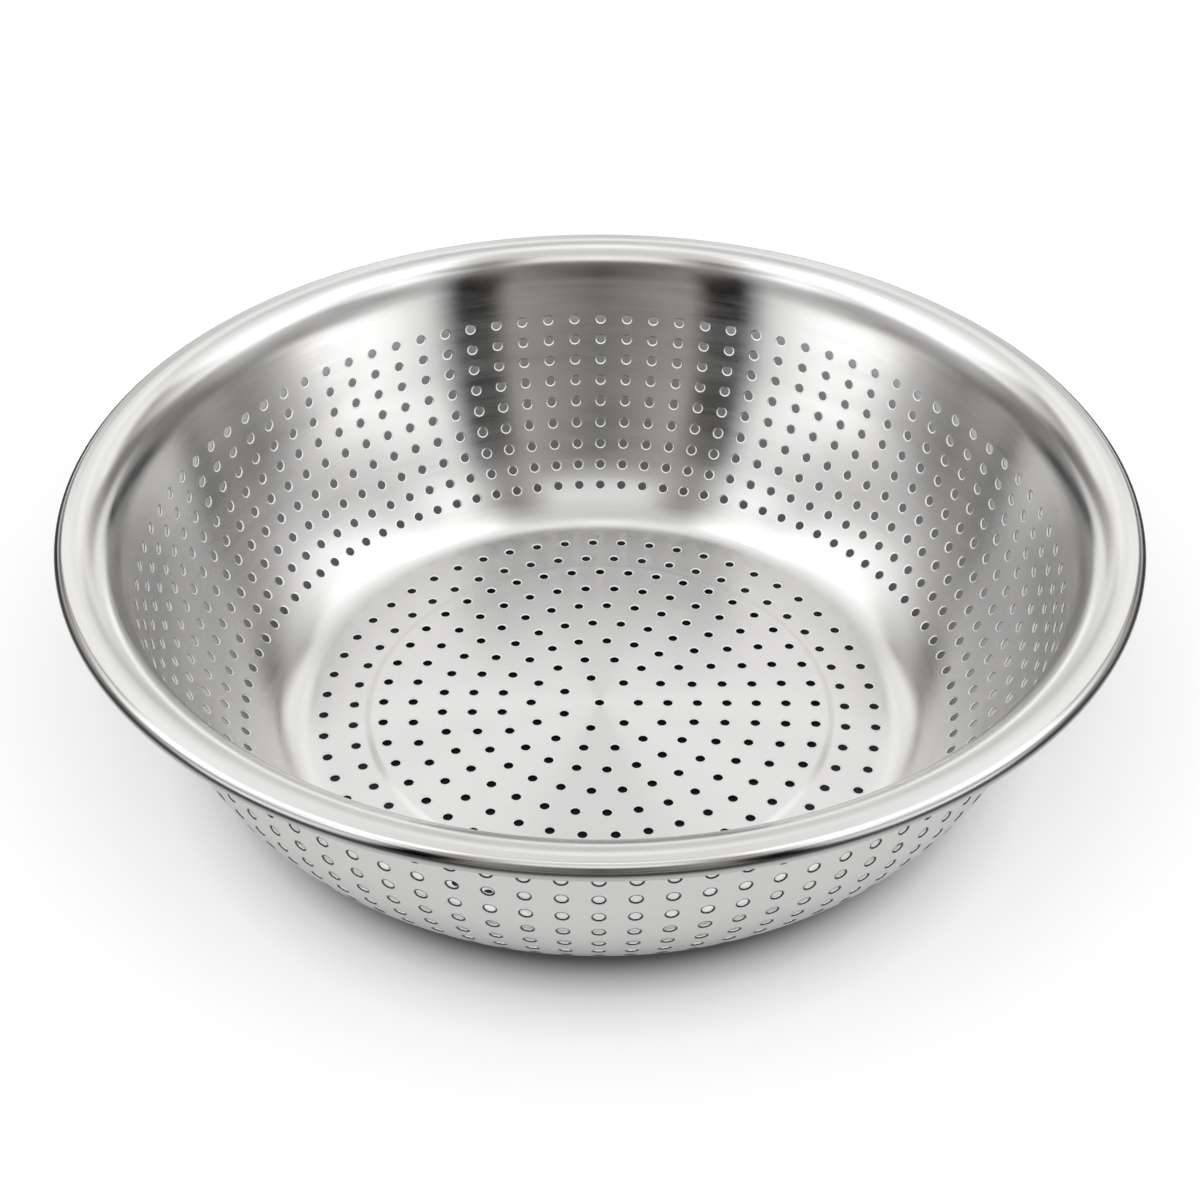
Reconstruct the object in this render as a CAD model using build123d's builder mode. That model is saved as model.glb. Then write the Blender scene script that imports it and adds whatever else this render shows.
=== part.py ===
# Perforated colander basin, pressed from one round blank of stainless steel: a flat holed floor
# with a raised panel, a curved holed wall, a rim that flares over to a narrow brim, and an edge
# curled under. All sizes are in millimetres and all angles in degrees. The origin is the centre
# of the face that the basin stands on, and Z is up.
from math import cos, radians, sin, tan
import os

from build123d import *

# Overall sizes
overall_diameter = 300.0  # over the curled edge
overall_height = 83.6  # from the table to the top of the brim
sheet = 0.7  # thickness of the steel

# Section of the sheet, read on the side that holds the food
corner_radius = 22.0  # bend from the floor into the wall
corner_turn = 30.0
wall_bend_radius = 62.0  # long bend of the lower wall
wall_lean = 9.25  # how far the upper wall leans out from the vertical
flare_radius = 13.2  # bend from the wall over to the brim
brim_flat = 1.4  # level part of the brim
curl_radius = 2.6  # outside of the curled edge
curl_turn = 180.0

# Raised panel of the floor, which lifts most of its holes off the table
panel_rise = 1.2
panel_slope = 30.0  # slope of the step round the panel
panel_rings = 7  # rings of holes on the panel: the rest lie round it

# Punched holes, as the real sheet has them: 9 rows of 92 in the wall, and 9 rings and the centre
hole_diameter = 3.0
punch_overrun = 1.5  # how far a punch reaches past each side of the sheet
wall_rows = 9
wall_columns = 92
top_band = 12.0  # plain wall above the highest row
bottom_band = 9.6  # plain wall below the lowest row
ring_counts = (7, 14, 21, 27, 33, 38, 44, 50, 55)
first_ring_radius = 11.9
floor_band = 3.5  # plain floor outside the last ring

# The solid has every second row, every fourth column, and every second ring at half its count.
# All the holes together would make its file too large to keep.
row_step = 2
column_step = 4
ring_step = 2
ring_thinning = 2

# Heights and widths that each bend takes up along the section
lean = radians(wall_lean)
turn = radians(corner_turn)
flare_run = flare_radius * cos(lean)
flare_height = flare_radius * (1 - sin(lean))
bend_run = wall_bend_radius * (cos(lean) - sin(turn))
bend_height = wall_bend_radius * (cos(turn) - sin(lean))
corner_run = corner_radius * sin(turn)
corner_height = corner_radius * (1 - cos(turn))
straight_height = overall_height - sheet - flare_height - bend_height - corner_height
floor_radius = (
    overall_diameter / 2
    - curl_radius
    - brim_flat
    - flare_run
    - straight_height * tan(lean)
    - bend_run
    - corner_run
)

# The step of the panel runs half way between two rings of holes
ring_pitch = (floor_radius - floor_band - first_ring_radius) / (len(ring_counts) - 1)
step_run = panel_rise / tan(radians(panel_slope))
panel_radius = first_ring_radius + (panel_rings - 1 / 2) * ring_pitch - step_run / 2

with BuildPart() as basin:
    with BuildSketch(Plane.XZ) as section:
        with BuildLine() as food_side:
            panel = Line((0, sheet + panel_rise), (panel_radius, sheet + panel_rise))
            step = Line(panel @ 1, (panel_radius + step_run, sheet))
            foot = Line(step @ 1, (floor_radius, sheet))
            corner = JernArc(foot @ 1, foot % 1, corner_radius, corner_turn)
            bend = JernArc(
                corner @ 1, corner % 1, wall_bend_radius, 90 - wall_lean - corner_turn
            )
            wall = PolarLine(bend @ 1, straight_height / cos(lean), direction=bend % 1)
            flare = JernArc(wall @ 1, wall % 1, flare_radius, wall_lean - 90)
            brim = PolarLine(flare @ 1, brim_flat, direction=flare % 1)
            curl = JernArc(brim @ 1, brim % 1, curl_radius, -curl_turn)
            offset(amount=sheet, side=Side.RIGHT)
        make_face()
    revolve(axis=Axis.Z)

    # Floor holes: the centre one, then rings of them
    punch_length = 2 * (panel_rise + sheet + punch_overrun)
    Cylinder(hole_diameter / 2, punch_length, mode=Mode.SUBTRACT)
    for ring in range(1, len(ring_counts), ring_step):
        with PolarLocations(
            first_ring_radius + ring * ring_pitch, ring_counts[ring] // ring_thinning
        ):
            Cylinder(hole_diameter / 2, punch_length, mode=Mode.SUBTRACT)

    # Wall holes: rows spaced evenly down the wall, each hole square to the sheet
    holed_wall = Wire([bend, wall])
    row_pitch = (holed_wall.length - top_band - bottom_band) / (wall_rows - 1)
    for row in range(0, wall_rows, row_step):
        share = (bottom_band + row * row_pitch) / holed_wall.length
        spot = holed_wall @ share
        along = holed_wall % share
        slope = Vector(1, 0, 0).get_signed_angle(along)
        with PolarLocations(spot.X, wall_columns // column_step):
            with Locations(Location((0, 0, spot.Y), (0, -slope, 0))):
                Cylinder(
                    hole_diameter / 2,
                    2 * (sheet + punch_overrun),
                    mode=Mode.SUBTRACT,
                )

basin.part.label = "basin"
os.makedirs("parts", exist_ok=True)
export_step(basin.part, "parts/basin.step")
print(f"floor radius {floor_radius:.2f}, ring pitch {ring_pitch:.2f}, row pitch {row_pitch:.2f}")
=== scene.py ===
# A round stainless steel colander: one pressed sheet with a holed floor, a holed wall and a curled
# rim, dressed with its full pattern of punched holes and with finely turned steel.
from math import atan2, cos, hypot, inf, pi, radians, sin

import bpy
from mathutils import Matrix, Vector


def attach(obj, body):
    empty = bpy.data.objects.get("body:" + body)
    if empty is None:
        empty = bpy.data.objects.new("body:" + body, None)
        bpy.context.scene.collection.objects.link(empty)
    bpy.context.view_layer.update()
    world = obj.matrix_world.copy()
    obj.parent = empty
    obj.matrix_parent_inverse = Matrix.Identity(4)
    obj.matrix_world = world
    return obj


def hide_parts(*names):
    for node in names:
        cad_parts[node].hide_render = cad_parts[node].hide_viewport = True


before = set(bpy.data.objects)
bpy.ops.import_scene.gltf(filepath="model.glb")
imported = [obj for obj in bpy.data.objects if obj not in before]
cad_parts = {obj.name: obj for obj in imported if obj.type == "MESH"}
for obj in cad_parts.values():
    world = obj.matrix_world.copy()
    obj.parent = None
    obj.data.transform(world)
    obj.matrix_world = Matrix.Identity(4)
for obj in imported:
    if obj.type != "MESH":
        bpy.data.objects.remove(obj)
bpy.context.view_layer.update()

mm = 0.001

# Camera
camera_data = bpy.data.cameras.new("camera")
camera_data.lens = 58.5
camera_data.sensor_width = 36
camera = bpy.data.objects.new("camera", camera_data)
camera.location = (0, -0.45095, 0.39456)
camera.rotation_euler = (radians(51.95), radians(-0.151), radians(0.114))
bpy.context.collection.objects.link(camera)
bpy.context.scene.camera = camera


# Section of the sheet on the side that holds the food, in millimetres. A stretch is its length and
# its curvature: positive where it turns up, negative where it turns over.
def arc(radius, degrees):
    return radius * radians(abs(degrees)), (1 if degrees > 0 else -1) / radius


sheet = 0.7
panel_rise = 1.2
panel_height = sheet + panel_rise
floor_radius = 87.68
corner_turn = 30
wall_lean = 9.25
corner = arc(22.0, corner_turn)
bend = arc(62.0, 90 - wall_lean - corner_turn)
wall = (25.47, 0)
flare = arc(13.2, wall_lean - 90)
brim = (1.4, 0)
curl = arc(2.6, -180)
stretches = (corner, bend, wall, flare, brim, curl)
floor_edge = (floor_radius, sheet, 0.0)  # radius, height and heading
flare_start = corner[0] + bend[0] + wall[0]
curl_start = flare_start + flare[0] + brim[0]
curl_end = curl_start + curl[0]

# Punched holes. Each has a lip drawn into the sheet, and a plate that fills its cell of the pattern
hole_radius = 1.5
lip_radius = 2.05
lip_drop = 0.13
wall_rows = 9
wall_columns = 92
bottom_band = 9.6  # plain wall below the lowest row
top_band = 12.0  # plain wall above the highest row
first_row = corner[0] + bottom_band
row_pitch = (bend[0] + wall[0] - top_band - bottom_band) / (wall_rows - 1)
ring_counts = (7, 14, 21, 27, 33, 38, 44, 50, 55)
last_on_panel = 6  # the rings after this one lie round the raised panel
first_ring_radius = 11.9
ring_pitch = 9.0353
ring_radii = [first_ring_radius + ring_pitch * k for k in range(len(ring_counts))]
plate_half = 2.9  # half the width of the plates of a ring
centre_plate = 4.5  # radius of the plate round the centre hole

# Points of the mesh: a plate gives three to each side of its cell. All rounds of points lie half a
# step off +X, so that the holes themselves lie on it.
side_points = 3
tile_sides = 4 * side_points
tile_step = radians(360 / tile_sides)
wall_points = side_points * wall_columns
ring_points = [side_points * count for count in ring_counts]
corner_parts = 4
rim_parts = 12  # of the flare, and of the curl

# The step round the panel, which is a soft wave
step_middle = (ring_radii[last_on_panel] + ring_radii[last_on_panel + 1]) / 2
step_width = 3.0
step_parts = 8
step_softness = 0.4  # share of its slope that the normals follow

# Shading of the wall: its steeper part is shaded as if it leaned out more
steep = radians(50)
steep_share = 0.5

# Shading of the lips: how far their normals keep the sheet's, point up and point into the hole
food_lip_keeps, food_lip_up, food_lip_in = 0.7, 0.5, 0.2
under_lip_keeps, under_lip_in = 0.45, 0.9

# Painted highlight (1) or painted shade (-1) on a lip. On the wall the lower lip of a hole, where
# the light catches it, gets the painted highlight and the upper lip painted shade
painted_bright_lip = 1.0
painted_dark_lip = -1.0
wall_lip = 0.45
darkest_wall_lip = -0.6


def follow(start, length, curve):
    """Radius, height and heading after a length of straight or arc."""
    radius, height, heading = start
    turned = heading + length * curve
    if curve == 0:
        return radius + length * cos(heading), height + length * sin(heading), heading
    return (
        radius + (sin(turned) - sin(heading)) / curve,
        height - (cos(turned) - cos(heading)) / curve,
        turned,
    )


def along_wall(length):
    """The section at a length from the edge of the floor, up to the end of the curl."""
    here = floor_edge
    for run, curve in stretches:
        if length <= run:
            return follow(here, length, curve)
        here = follow(here, run, curve)
        length -= run
    return here


def divided(start, length, count):
    """Lengths along the section that cut a stretch of it into equal parts."""
    return [start + length * k / count for k in range(count + 1)]


def select(*pieces):
    """Selects these pieces alone, with the first one active."""
    bpy.ops.object.select_all(action="DESELECT")
    for piece in pieces:
        piece.select_set(True)
    if pieces:
        bpy.context.view_layer.objects.active = pieces[0]


def new_piece(name, points, faces):
    mesh = bpy.data.meshes.new(name)
    mesh.from_pydata(points, [], faces)
    piece = bpy.data.objects.new(name, mesh)
    bpy.context.collection.objects.link(piece)
    return piece


def cylinder_point(radius, height, angle):
    """A point in metres, from a radius and a height in millimetres."""
    return Vector((radius * cos(angle), radius * sin(angle), height)) * mm


def nearest_turn(x, y):
    """How many sides of the tile a point lies past the first one."""
    return round((atan2(y, x) - tile_step / 2) / tile_step)


def squared(turn):
    """A point of a unit square's outline: the corners, with two points on each side."""
    quarter, step = divmod(turn % tile_sides, side_points)
    x, y = ((1 / 2, 1 / 6), (1 / 2, 1 / 2), (1 / 6, 1 / 2))[step]
    for _ in range(quarter):
        x, y = -y, x
    return x, y


def hole_tile():
    """One hole with its lip and the plate round it, made flat, as points and faces. A point is
    what it belongs to and its place: in millimetres, or on a unit square for the plate."""
    select()
    bpy.ops.mesh.primitive_circle_add(
        vertices=tile_sides, radius=hole_radius, rotation=(0, 0, tile_step / 2)
    )
    tile = bpy.context.object
    bpy.ops.object.transform_apply(location=False, rotation=True, scale=False)
    bpy.ops.object.mode_set(mode="EDIT")
    bpy.ops.mesh.select_all(action="SELECT")
    outline_reach = 2
    outline_radius = outline_reach * lip_radius
    for reach in (lip_radius / hole_radius, outline_reach):
        bpy.ops.mesh.extrude_edges_move()
        bpy.ops.transform.resize(value=(reach, reach, 1), center_override=(0, 0, 0))
    bpy.ops.object.mode_set(mode="OBJECT")
    points = []
    for v in tile.data.vertices:
        x, y = v.co.x, v.co.y
        away = hypot(x, y)
        if away > (lip_radius + outline_radius) / 2:
            points.append(("plate", *squared(nearest_turn(x, y))))
        elif away > (hole_radius + lip_radius) / 2:
            points.append(("lip", x, y))
        else:
            points.append(("edge", x, y))
    faces = [tuple(face.vertices) for face in tile.data.polygons]
    bpy.data.objects.remove(tile)
    return points, faces


def holed_skin(name, cells):
    """The hole tile in every cell. A cell turns a point of the tile into radius, height and angle.
    The points of a hole's edge keep the direction to its centre in the attribute "inward"."""
    tile_points, tile_faces = hole_tile()
    points, faces, inward = [], [], []
    for cell in cells:
        first = len(points)
        centre = cylinder_point(*cell("lip", 0, 0))
        for kind, x, y in tile_points:
            point = cylinder_point(*cell(kind, x, y))
            points.append(point)
            inward.append((centre - point).normalized() if kind == "edge" else Vector())
        faces.extend([tuple(first + v for v in face) for face in tile_faces])
    skin = new_piece(name, points, faces)
    inward_data = skin.data.attributes.new("inward", "FLOAT_VECTOR", "POINT")
    inward_data.data.foreach_set("vector", [c for v in inward for c in v])
    return skin


def wall_cell(row, column):
    middle = first_row + row * row_pitch
    step = 2 * pi / wall_columns
    middle_radius = along_wall(middle)[0]

    def cell(kind, x, y):
        if kind == "plate":
            radius, height, _ = along_wall(middle + y * row_pitch)
            return radius, height, (column + x) * step
        radius, height, _ = along_wall(middle + y)
        return radius, height, column * step + x / middle_radius

    return cell


def floor_cell(ring, place):
    middle = ring_radii[ring]
    height = panel_height if ring <= last_on_panel else sheet
    step = 2 * pi / ring_counts[ring]

    def cell(kind, x, y):
        if kind == "plate":
            return middle + 2 * plate_half * y, height, (place + x) * step
        return hypot(middle + y, x), height, place * step + atan2(x, middle + y)

    return cell


def centre_cell(kind, x, y):
    """The cell in the middle of the floor, whose plate is round."""
    if kind == "plate":
        return centre_plate, panel_height, tile_step / 2 + nearest_turn(x, y) * tile_step
    return hypot(x, y), panel_height, atan2(y, x)


def turned_band(name, count, rings):
    """A band round the axis, carried ring by ring through a list of radius and height."""
    select()
    radius, height = rings[0]
    bpy.ops.mesh.primitive_circle_add(
        vertices=count,
        radius=radius * mm,
        location=(0, 0, height * mm),
        rotation=(0, 0, pi / count + pi / 2),
    )
    band = bpy.context.object
    band.name = name
    bpy.ops.object.transform_apply(location=True, rotation=True, scale=False)
    bpy.ops.object.mode_set(mode="EDIT")
    bpy.ops.mesh.select_all(action="SELECT")
    for next_radius, next_height in rings[1:]:
        bpy.ops.mesh.extrude_edges_move(
            TRANSFORM_OT_translate={"value": (0, 0, (next_height - height) * mm)}
        )
        share = next_radius / radius
        bpy.ops.transform.resize(value=(share, share, 1), center_override=(0, 0, 0))
        radius, height = next_radius, next_height
    bpy.ops.object.mode_set(mode="OBJECT")
    return band


def laced_strip(name, inner, outer, height):
    """A level strip between two rings of points, given as radius and count, laced in triangles."""
    points, faces, rings = [], [], []
    for radius, count in (inner, outer):
        angles = [(k + 0.5) * 2 * pi / count for k in range(count)]
        rings.append([(len(points) + k, angle) for k, angle in enumerate(angles)])
        points.extend([cylinder_point(radius, height, angle) for angle in angles])
    first, second = rings
    i = j = 0
    while i < len(first) or j < len(second):
        a, b = first[i % len(first)][0], second[j % len(second)][0]
        here = first[i][1] if i < len(first) else inf
        there = second[j][1] if j < len(second) else inf
        if here <= there:
            i += 1
            faces.append((a, b, first[i % len(first)][0]))
        else:
            j += 1
            faces.append((a, b, second[j % len(second)][0]))
    return new_piece(name, points, faces)


# The food side of the sheet: first the holed skins, then the strips and bands between them
parts = [
    holed_skin(
        "wall_skin",
        [wall_cell(row, column) for row in range(wall_rows) for column in range(wall_columns)],
    ),
    holed_skin(
        "floor_skin",
        [
            floor_cell(ring, place)
            for ring, count in enumerate(ring_counts)
            for place in range(count)
        ],
    ),
    holed_skin("centre_skin", [centre_cell]),
]
inner_edges = [(radius - plate_half, count) for radius, count in zip(ring_radii, ring_points)]
outer_edges = [(radius + plate_half, count) for radius, count in zip(ring_radii, ring_points)]
parts.append(laced_strip("strip_0", (centre_plate, tile_sides), inner_edges[0], panel_height))
for k in range(len(ring_counts) - 1):
    if k != last_on_panel:
        height = panel_height if k < last_on_panel else sheet
        parts.append(laced_strip(f"strip_{k + 1}", outer_edges[k], inner_edges[k + 1], height))
parts.append(laced_strip("strip_edge", outer_edges[-1], (floor_radius, wall_points), sheet))

step_rings = [(outer_edges[last_on_panel][0], panel_height)]
for k in range(step_parts + 1):
    share = k / step_parts
    step_rings.append(
        (
            step_middle + (share - 0.5) * step_width,
            sheet + panel_rise * (1 + cos(pi * share)) / 2,
        )
    )
step_points = ring_points[last_on_panel]
parts.append(turned_band("step_skin", step_points, step_rings))
parts.append(
    laced_strip(
        "strip_step", (step_rings[-1][0], step_points), inner_edges[last_on_panel + 1], sheet
    )
)

low_end = first_row - row_pitch / 2
high_start = first_row + (wall_rows - 0.5) * row_pitch
low_lengths = divided(0, corner[0], corner_parts) + [(corner[0] + low_end) / 2, low_end]
high_lengths = (
    [high_start, (high_start + flare_start) / 2]
    + divided(flare_start, flare[0], rim_parts)
    + divided(curl_start, curl[0], rim_parts)
)
for name, lengths in (("low_band", low_lengths), ("high_band", high_lengths)):
    rings = [along_wall(length)[:2] for length in lengths]
    parts.append(turned_band(name, wall_points, rings))

select(*parts)
bpy.ops.object.join()
basin = bpy.context.object
basin.name = "colander_sheet"
weld_distance = 0.02 * mm
bpy.ops.object.mode_set(mode="EDIT")
bpy.ops.mesh.select_all(action="SELECT")
bpy.ops.mesh.remove_doubles(threshold=weld_distance)
bpy.ops.mesh.normals_make_consistent(inside=False)
bpy.ops.object.mode_set(mode="OBJECT")
mesh = basin.data

# The food side has to face up: a level face near the middle of the floor tells
level = max(mesh.polygons, key=lambda face: abs(face.normal.z) - face.center.length)
if level.normal.z < 0:
    select(basin)
    bpy.ops.object.mode_set(mode="EDIT")
    bpy.ops.mesh.select_all(action="SELECT")
    bpy.ops.mesh.flip_normals()
    bpy.ops.object.mode_set(mode="OBJECT")


def nearest_on(start, run, curve, radius, height):
    """The place on one stretch of the section that is nearest to a point."""
    start_radius, start_height, start_heading = start
    if curve == 0:
        length = (radius - start_radius) * cos(start_heading)
        length += (height - start_height) * sin(start_heading)
        return follow(start, min(max(length, 0), run), curve)
    side = 1 if curve > 0 else -1
    middle_radius = start_radius - sin(start_heading) / curve
    middle_height = start_height + cos(start_heading) / curve
    heading = atan2(side * (radius - middle_radius), -side * (height - middle_height))
    turned = (heading - start_heading + pi) % (2 * pi) - pi
    # The curl turns over by half a turn, and near its end the angle wraps round to a positive one
    least_wrapped = 0.5
    if side < 0 and turned > least_wrapped:
        turned -= 2 * pi
    share = min(max(turned / (run * curve), 0), 1)
    return follow(start, share * run, curve)


def facing(radius, height):
    """The heading of the section at a point of the food side."""
    if radius < floor_radius:
        into = radius - step_middle
        if abs(into) < step_width / 2:
            wave = sin(pi * (into / step_width + 0.5))
            return atan2(-panel_rise / 2 * wave * pi / step_width, 1) * step_softness
        return 0.0
    least, heading = inf, 0.0
    here = floor_edge
    for run, curve in stretches:
        near = nearest_on(here, run, curve, radius, height)
        miss = hypot(radius - near[0], height - near[1])
        if miss < least:
            least, heading = miss, near[2]
        here = follow(here, run, curve)
    return heading


def square_to(heading, angle):
    """The unit vector square to the food side."""
    return Vector((-sin(heading) * cos(angle), -sin(heading) * sin(angle), cos(heading)))


# Normals of the food side, the same for shading, and the section's direction at the cut edge
food_count = len(mesh.vertices)
cut_margin = 0.05
cut_height = along_wall(curl_end)[1] + cut_margin
cut_radius = 140
normals, shading, past_cut = [], [], []
for v in mesh.vertices:
    radius, height = hypot(v.co.x, v.co.y) / mm, v.co.z / mm
    heading = facing(radius, height)
    angle = atan2(v.co.y, v.co.x)
    normals.append(square_to(heading, angle))
    eased = min(heading, steep + (heading - steep) * steep_share)
    shading.append(square_to(eased, angle))
    past_cut.append(None)
    if height < cut_height and radius > cut_radius:
        past_cut[-1] = Vector(
            (cos(heading) * cos(angle), cos(heading) * sin(angle), sin(heading))
        )

# The sheet gets its thickness, with the underside's points square below those of the food side
solidify = basin.modifiers.new("thickness", "SOLIDIFY")
solidify.thickness = sheet * mm
solidify.offset = -1
select(basin)
bpy.ops.object.modifier_apply(modifier=solidify.name)
mesh = basin.data
inward = mesh.attributes["inward"].data
for k in range(food_count):
    mesh.vertices[food_count + k].co = mesh.vertices[k].co - normals[k] * sheet * mm

# The edges of the holes are drawn into the sheet from both sides, which makes their lips
custom = shading + [-normal for normal in normals]
lip_highlight_and_shade = [0.0] * len(mesh.vertices)
for i, v in enumerate(mesh.vertices):
    food_side = i < food_count
    k = i if food_side else i - food_count
    towards = inward[k].vector
    if towards.length > 0.5:
        outward = normals[k] if food_side else -normals[k]
        v.co -= outward * lip_drop * mm
        if food_side:
            lifted = custom[i] * food_lip_keeps + Vector((0, 0, food_lip_up))
            custom[i] = (lifted + towards * food_lip_in).normalized()
            # Painted highlight on the lips of the floor holes; on the wall, painted highlight below
            # and painted shade above
            if hypot(v.co.x, v.co.y) < floor_radius * mm:
                lip_highlight_and_shade[i] = painted_bright_lip
            else:
                lip_highlight_and_shade[i] = min(max(wall_lip + towards.z, darkest_wall_lip), painted_bright_lip)
        else:
            custom[i] = (towards * under_lip_in + custom[i] * under_lip_keeps).normalized()
            # Painted shade on the lips of the underside
            lip_highlight_and_shade[i] = painted_dark_lip
    elif past_cut[k] is not None:
        custom[i] = (custom[i] + past_cut[k]).normalized()
select(basin)
bpy.ops.object.shade_smooth()
mesh.normals_split_custom_set_from_vertices(custom)
# The lips' painted highlight and painted shade go to the material as an attribute
mesh.attributes.new("lip_highlight_and_shade", "FLOAT", "POINT").data.foreach_set("value", lip_highlight_and_shade)


class Nodes:
    """One node tree. What goes into a node is a value, or a socket that it is linked from."""

    def __init__(self, tree):
        self.tree = tree

    def put(self, value, socket):
        if isinstance(value, bpy.types.NodeSocket):
            self.tree.links.new(value, socket)
        else:
            socket.default_value = value

    def add(self, kind, inputs=None, **settings):
        """A node with its settings first, because they decide which inputs it has."""
        node = self.tree.nodes.new(kind)
        for key, value in settings.items():
            setattr(node, key, value)
        for key, value in (inputs or {}).items():
            self.put(value, node.inputs[key])
        return node

    def maths(self, operation, *values):
        node = self.add("ShaderNodeMath", dict(enumerate(values)), operation=operation)
        return node.outputs[0]

    def plus(self, first, second):
        return self.maths("ADD", first, second)

    def times(self, first, second):
        return self.maths("MULTIPLY", first, second)

    def changed(self, base, amount, mask):
        """The base, changed by an amount where the mask is 1."""
        return self.maths("MULTIPLY_ADD", mask, amount, base)

    def ranged(self, value, low, high, to_low=0.0, to_high=1.0):
        """A soft change from one value to another while the first value goes from low to high."""
        inputs = {
            "Value": value,
            "From Min": low,
            "From Max": high,
            "To Min": to_low,
            "To Max": to_high,
        }
        node = self.add("ShaderNodeMapRange", inputs, interpolation_type="SMOOTHSTEP")
        return node.outputs["Result"]

    def between(self, value, start, full, fading, gone):
        """A mask that is 1 from full to fading, and 0 up to start and beyond gone."""
        return self.times(
            self.ranged(value, start, full), self.ranged(value, fading, gone, 1.0, 0.0)
        )

    def vector(self, operation, inputs, output="Vector"):
        node = self.add("ShaderNodeVectorMath", inputs, operation=operation)
        return node.outputs[output]

    def grey(self, value):
        node = self.add("ShaderNodeCombineColor", {0: value, 1: value, 2: value})
        return node.outputs[0]

    def mixed(self, share, first, second):
        inputs = {"Factor": share, "A": first, "B": second}
        return self.add("ShaderNodeMix", inputs, data_type="RGBA").outputs["Result"]

    def ramp(self, place, stops):
        """A colour ramp through stops of position and colour."""
        node = self.add("ShaderNodeValToRGB", {0: place})
        elements = node.color_ramp.elements
        while len(elements) < len(stops):
            elements.new(0.5)
        for element, (position, colour) in zip(elements, stops):
            element.position = position
            element.color = colour
        return node.outputs["Color"]


def turned_grain_group():
    """Lines that run round the axis: the height of the fine ones, and masks of fine and wide."""
    group = bpy.data.node_groups.new("turned grain", "ShaderNodeTree")
    sockets = group.interface
    sockets.new_socket("Place", in_out="INPUT", socket_type="NodeSocketVector")
    for name, value in (("Line width mm", 0.5), ("Line length", 5.0), ("Streak width mm", 6.0)):
        socket = sockets.new_socket(name, in_out="INPUT", socket_type="NodeSocketFloat")
        socket.default_value = value
    for name in ("Height", "Lines", "Streaks"):
        sockets.new_socket(name, in_out="OUTPUT", socket_type="NodeSocketFloat")
    n = Nodes(group)
    given = n.add("NodeGroupInput").outputs
    result = n.add("NodeGroupOutput").inputs
    x, y, z = n.add("ShaderNodeSeparateXYZ", {0: given["Place"]}).outputs
    radius = n.maths("SQRT", n.plus(n.times(x, x), n.times(y, y)))
    least_radius = 0.0005  # metres, so that nothing is divided by 0 on the axis
    fine_detail, wide_detail, noise_roughness = 3.0, 2.0, 0.6
    contrast = (0.3, 0.7)
    safe = n.maths("MAXIMUM", radius, least_radius)
    along = n.times(n.plus(radius, z), 1 / mm)
    turn_x = n.times(n.maths("DIVIDE", x, safe), given["Line length"])
    turn_y = n.times(n.maths("DIVIDE", y, safe), given["Line length"])

    def lines(width, detail):
        across = n.maths("DIVIDE", along, width)
        where = n.add("ShaderNodeCombineXYZ", {0: turn_x, 1: turn_y, 2: across}).outputs[0]
        inputs = {
            "Vector": where,
            "Scale": 1.0,
            "Detail": detail,
            "Roughness": noise_roughness,
        }
        return n.add("ShaderNodeTexNoise", inputs).outputs["Fac"]

    fine = lines(given["Line width mm"], fine_detail)
    wide = lines(given["Streak width mm"], wide_detail)
    n.put(fine, result["Height"])
    n.put(n.ranged(fine, *contrast), result["Lines"])
    n.put(n.ranged(wide, *contrast), result["Streaks"])
    return group


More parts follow.
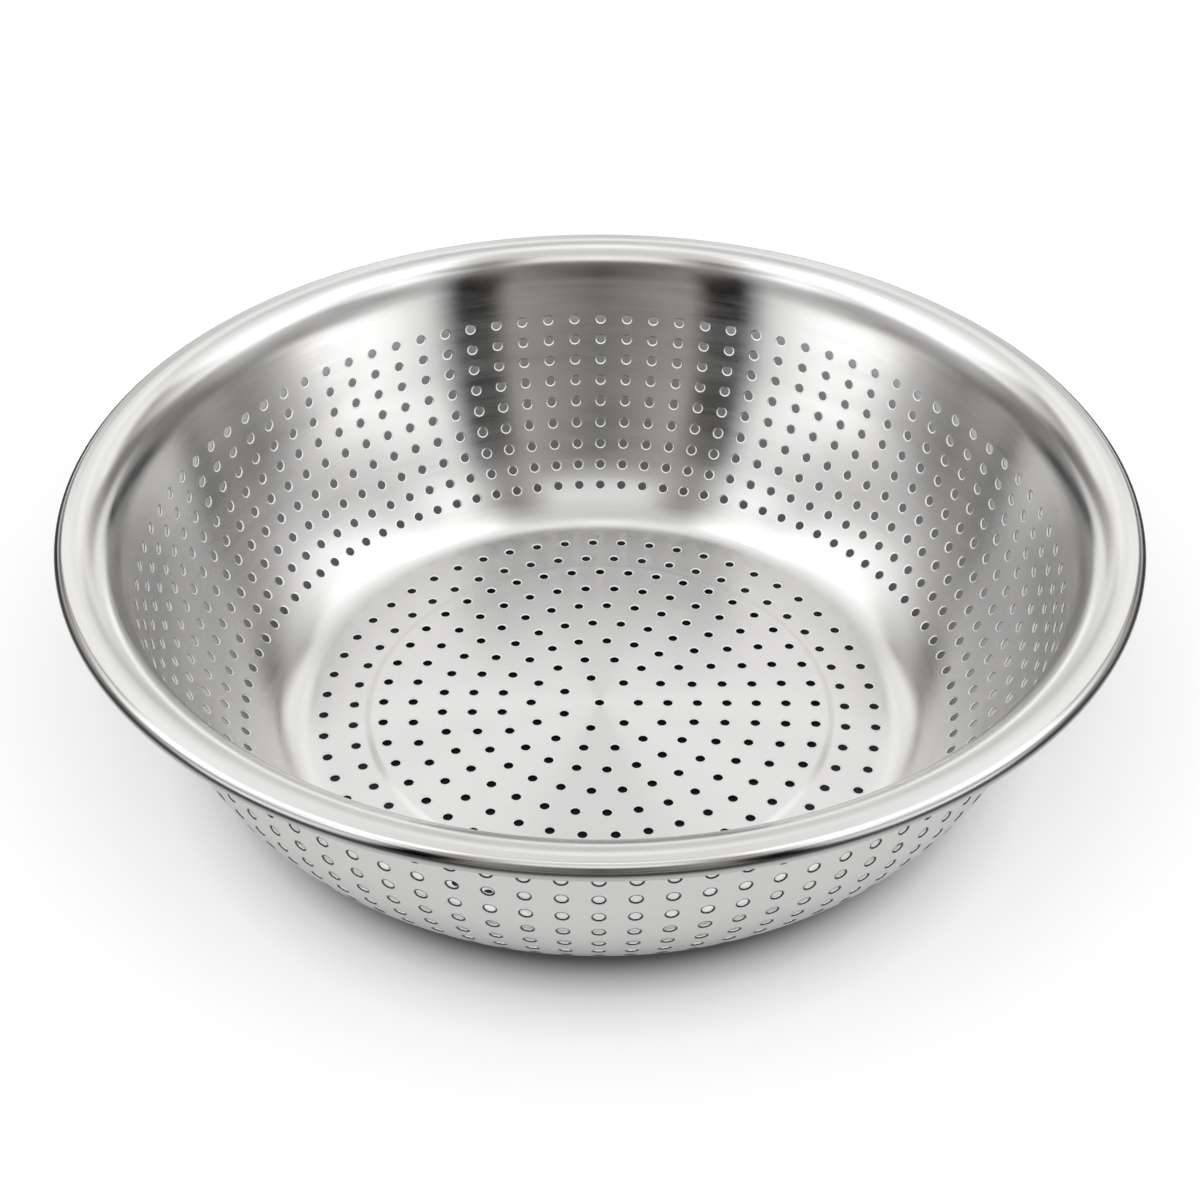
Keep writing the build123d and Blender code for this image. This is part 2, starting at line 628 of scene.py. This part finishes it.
def turned_steel():
    """Bright steel with turned lines, a painted dark reflection in the fold and a painted dark
    outline at the rim's edge, and lips round the holes with painted highlights and painted shade.
    The places on it are radii in metres."""
    wall_place = (0.088, 0.112, 0.134, 0.139)
    fold_reflection_place = (0.1326, 0.1340, 0.1358, 0.1370)  # where the wall bends over to the brim
    corner_place = (0.0855, 0.0885, 0.100, 0.110)
    rim_outline_place = (0.1487, 0.1494)
    brim_place = (0.130, 0.137)
    floor_place = (0.084, 0.087)
    # Painted highlight on lips in the first range of the attribute, painted shade on lips in the
    # second
    lip_highlight_values, lip_shade_values = (0.2, 0.55), (-0.6, 0.0)  # of the attribute "lip_highlight_and_shade"
    line_share, streak_share = 0.4, 0.6
    steel_tone, steel_hue = 0.765, (1, 0.992, 0.98)
    grain_tone, wall_tone, fold_painted_reflection, rim_outline_painted_shade = 0.03, -0.08, -0.25, -0.3
    lip_shade_tone, lip_highlight_colour = 0.1, (0.97, 0.97, 0.97, 1)
    wall_roughness, brim_roughness = 0.15, 0.10
    floor_roughness, corner_roughness = 0.03, -0.03
    line_roughness, streak_roughness, lip_roughness = 0.025, 0.03, 0.35
    lip_metallic = -0.8
    bump_strength, bump_distance = 0.08, 0.00001

    steel = bpy.data.materials.new("turned_steel")
    steel.use_nodes = True
    n = Nodes(steel.node_tree)
    shader = n.tree.nodes["Principled BSDF"].inputs
    place = n.add("ShaderNodeTexCoord").outputs["Object"]
    grain = n.add("ShaderNodeGroup", {"Place": place}, node_tree=turned_grain_group()).outputs
    level = n.vector("MULTIPLY", {0: place, 1: (1, 1, 0)})
    radius = n.vector("LENGTH", {0: level}, "Value")
    edge = n.add("ShaderNodeAttribute", attribute_name="lip_highlight_and_shade").outputs["Fac"]
    lip = n.ranged(edge, *lip_highlight_values)

    lines, streaks = grain["Lines"], grain["Streaks"]
    mottle = n.plus(n.times(lines, line_share), n.times(streaks, streak_share))
    tone = n.changed(steel_tone, grain_tone, mottle)
    tone = n.changed(tone, wall_tone, n.between(radius, *wall_place))
    # Painted dark reflection in a band where the wall bends over to the brim
    tone = n.changed(tone, fold_painted_reflection, n.between(radius, *fold_reflection_place))
    # Painted dark outline along the outer edge of the rim, standing in for its dark reflection
    tone = n.changed(tone, rim_outline_painted_shade, n.ranged(radius, *rim_outline_place))
    # Painted shade on the lips of the underside and the upper lips of wall holes
    tone = n.times(tone, n.ranged(edge, *lip_shade_values, lip_shade_tone, 1.0))
    plain = n.vector("SCALE", {0: steel_hue, "Scale": tone})
    # Painted highlight on the bright lips: white and hardly metallic
    n.put(n.mixed(lip, plain, lip_highlight_colour), shader["Base Color"])
    n.put(n.changed(1.0, lip_metallic, lip), shader["Metallic"])

    rough = n.plus(
        n.ranged(radius, *brim_place, wall_roughness, brim_roughness),
        n.ranged(radius, *floor_place, floor_roughness, 0.0),
    )
    rough = n.changed(rough, corner_roughness, n.between(radius, *corner_place))
    rough = n.changed(rough, line_roughness, lines)
    rough = n.changed(rough, streak_roughness, streaks)
    n.put(n.changed(rough, lip_roughness, lip), shader["Roughness"])

    inputs = {
        "Height": grain["Height"],
        "Strength": bump_strength,
        "Distance": bump_distance,
    }
    n.put(n.add("ShaderNodeBump", inputs).outputs["Normal"], shader["Normal"])
    turning = n.add("ShaderNodeTangent", direction_type="RADIAL", axis="Z")
    n.put(turning.outputs[0], shader["Tangent"])
    shader["Anisotropic"].default_value = 1.0
    shader["Anisotropic Rotation"].default_value = 0.25
    return steel


basin.data.materials.clear()
basin.data.materials.append(turned_steel())

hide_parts("basin")
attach(basin, "root")


def table_paint():
    """White, dark under the bowl and shaded behind it. The steel sees the far table as dark.
    The places on it are in metres."""
    # Shade under the bowl, by distance from its axis
    shade_reach = 0.2
    shade_stops = (
        (0.0, 0.0),
        (0.096, 0.02),
        (0.102, 0.10),
        (0.109, 0.5),
        (0.1156, 0.78),
        (0.122, 0.9),
        (0.131, 1.0),
    )
    # Shade behind the bowl, which darkens the holes of the back wall
    behind_spot, behind_place, behind_share = (0, 0.108, 0), (0.12, 0.19), 0.80
    far_place, far_share = (0.17, 0.34), -0.92
    darkest, paint_tone = 0.02, 0.80
    glow_strength, reflected_glow = 0.25, 0.4

    paint = bpy.data.materials.new("table_paint")
    paint.use_nodes = True
    n = Nodes(paint.node_tree)
    shader = n.tree.nodes["Principled BSDF"].inputs
    shader["Roughness"].default_value = 0.9
    shader["Specular IOR Level"].default_value = 0
    shader["Emission Color"].default_value = (1, 1, 1, 1)
    where = n.add("ShaderNodeTexCoord").outputs["Object"]
    ray = n.add("ShaderNodeLightPath").outputs

    def away_from(spot, low, high):
        """0 within a distance of a spot on the table and 1 beyond a larger one."""
        return n.ranged(n.vector("DISTANCE", {0: where, 1: spot}, "Value"), low, high)

    from_axis = n.vector("LENGTH", {0: where}, "Value")
    under = n.ramp(
        n.times(from_axis, 1 / shade_reach),
        [(reach / shade_reach, (value, value, value, 1)) for reach, value in shade_stops],
    )
    behind = n.changed(1 - behind_share, behind_share, away_from(behind_spot, *behind_place))
    far = n.times(ray["Is Glossy Ray"], away_from((0, 0, 0), *far_place))
    open_table = n.times(n.times(under, behind), n.changed(1.0, far_share, far))
    n.put(n.grey(n.changed(darkest, paint_tone, open_table)), shader["Base Color"])
    seen = n.changed(ray["Is Camera Ray"], reflected_glow, ray["Is Glossy Ray"])
    seen = n.plus(seen, ray["Is Transmission Ray"])
    n.put(n.times(n.times(seen, open_table), glow_strength), shader["Emission Strength"])
    return paint


select()
bpy.ops.mesh.primitive_plane_add(size=6, location=(0, 0, 0))
table = bpy.context.object
table.name = "table"
table.data.materials.append(table_paint())

# The room that the steel reflects, in bands from the floor up. A band is the heights of view
# between which it takes over from the band below (0 is level, 1 is straight up), and its brightness
# at degrees round from in front (0) to behind (180), which is alike on both sides.
room_bands = (
    (
        (),
        (
            (0, 0.5), (15, 0.6), (24, 0.5), (30, 0.0), (38, 0.0), (45, 0.6),
            (53, 1.2), (66, 1.3), (75, 1.1), (82, 0.4), (98, 0.3), (110, 0.6),
            (120, 0.3), (128, 0.0), (148, 0.0), (157, 0.9), (168, 1.3), (180, 1.3),
        ),
    ),
    (
        (0.15, 0.20),
        (
            (0, 0.0), (15, 0.1), (22, 0.15), (29, 0.0), (37, 0.0), (45, 1.0),
            (53, 1.5), (60, 1.9), (68, 2.1), (75, 1.8), (82, 1.2), (90, 0.6),
            (98, 0.3), (112, 0.3), (135, 0.6), (157, 1.05), (172, 0.85), (180, 0.7),
        ),
    ),
    (
        (0.32, 0.37),
        (
            (0, 0.35), (15, 0.45), (23, 0.5), (28, 0.0), (36, 0.0), (44, 1.3),
            (52, 1.5), (60, 1.3), (68, 0.8), (80, 0.5), (90, 0.6), (102, 0.9),
            (120, 0.5), (135, 0.2), (150, 0.2), (165, 0.55), (173, 1.0), (180, 0.6),
        ),
    ),
    (
        (0.50, 0.56),
        (
            (0, 0.1), (12, 0.3), (22, 0.5), (28, 0.1), (38, 0.0), (46, 0.9),
            (60, 0.65), (75, 0.8), (90, 1.1), (99, 1.5), (115, 1.2), (135, 0.7),
            (150, 0.4), (158, 1.2), (172, 0.95), (180, 1.2),
        ),
    ),
    (
        (0.68, 0.74),
        (
            (0, 0.2), (20, 0.3), (30, 0.5), (38, 0.4), (46, 0.8), (60, 1.5),
            (68, 1.4), (80, 0.9), (90, 1.3), (100, 1.8), (115, 1.4), (122, 1.6),
            (140, 1.2), (165, 0.9), (180, 0.6),
        ),
    ),
    (
        (0.87, 0.91),
        (
            (0, 1.3), (26, 1.2), (40, 0.4), (52, 0.1), (60, 0.3), (70, 0.8),
            (90, 1.5), (120, 1.7), (142, 1.7), (152, 0.95), (180, 1.4),
        ),
    ),
)
ceiling_height, ceiling_colour = (0.96, 0.98), (0.75, 0.75, 0.75, 1)
skirting_height, skirting_share = (0.01, 0.06), 0.25  # the room is darker where it meets the table
warm_below = 0.6  # the darker parts of the room are tinted warm
warm_green, warm_blue = 0.045, 0.09

# Other light than reflections comes mostly from above and from the camera's side
light_direction = (0, -0.751, 0.661)
light_spread = (0.2, 1.0)
light_range = (0.35, 1.917)


def room_colour(value):
    warm = 1.0 if value < warm_below else 0.0
    return value, value * (1 - warm_green * warm), value * (1 - warm_blue * warm), 1


def studio():
    """A plain white backdrop. The steel sees the room, and everything else is lit by the light."""
    world = bpy.data.worlds.new("studio")
    world.use_nodes = True
    world.cycles.sampling_method = "NONE"
    world.node_tree.nodes.clear()
    n = Nodes(world.node_tree)
    look = n.add("ShaderNodeTexCoord").outputs["Generated"]
    x, y, z = n.add("ShaderNodeSeparateXYZ", {0: look}).outputs
    azimuth = n.maths("ARCTAN2", x, n.times(y, -1.0))
    round_share = n.maths("ABSOLUTE", n.times(azimuth, 1 / pi))
    for begins, stops in room_bands:
        colours = [(degrees / 180, room_colour(value)) for degrees, value in stops]
        band = n.ramp(round_share, colours)
        room = n.mixed(n.ranged(z, *begins), room, band) if begins else band
    room = n.mixed(n.ranged(z, *ceiling_height), room, ceiling_colour)
    skirting = n.ranged(z, *skirting_height, skirting_share, 1.0)
    room = n.vector("SCALE", {0: room, "Scale": skirting})
    towards_light = n.vector("DOT_PRODUCT", {0: look, 1: light_direction}, "Value")
    lit = n.grey(n.ranged(towards_light, *light_spread, *light_range))
    ray = n.add("ShaderNodeLightPath").outputs
    plain = n.mixed(ray["Is Camera Ray"], lit, (1, 1, 1, 1))
    colour = n.mixed(ray["Is Glossy Ray"], plain, room)
    sky = n.add("ShaderNodeBackground", {"Color": colour, "Strength": 1.0})
    n.add("ShaderNodeOutputWorld", {"Surface": sky.outputs[0]})
    return world


bpy.context.scene.world = studio()
bpy.context.scene.view_settings.view_transform = "Standard"
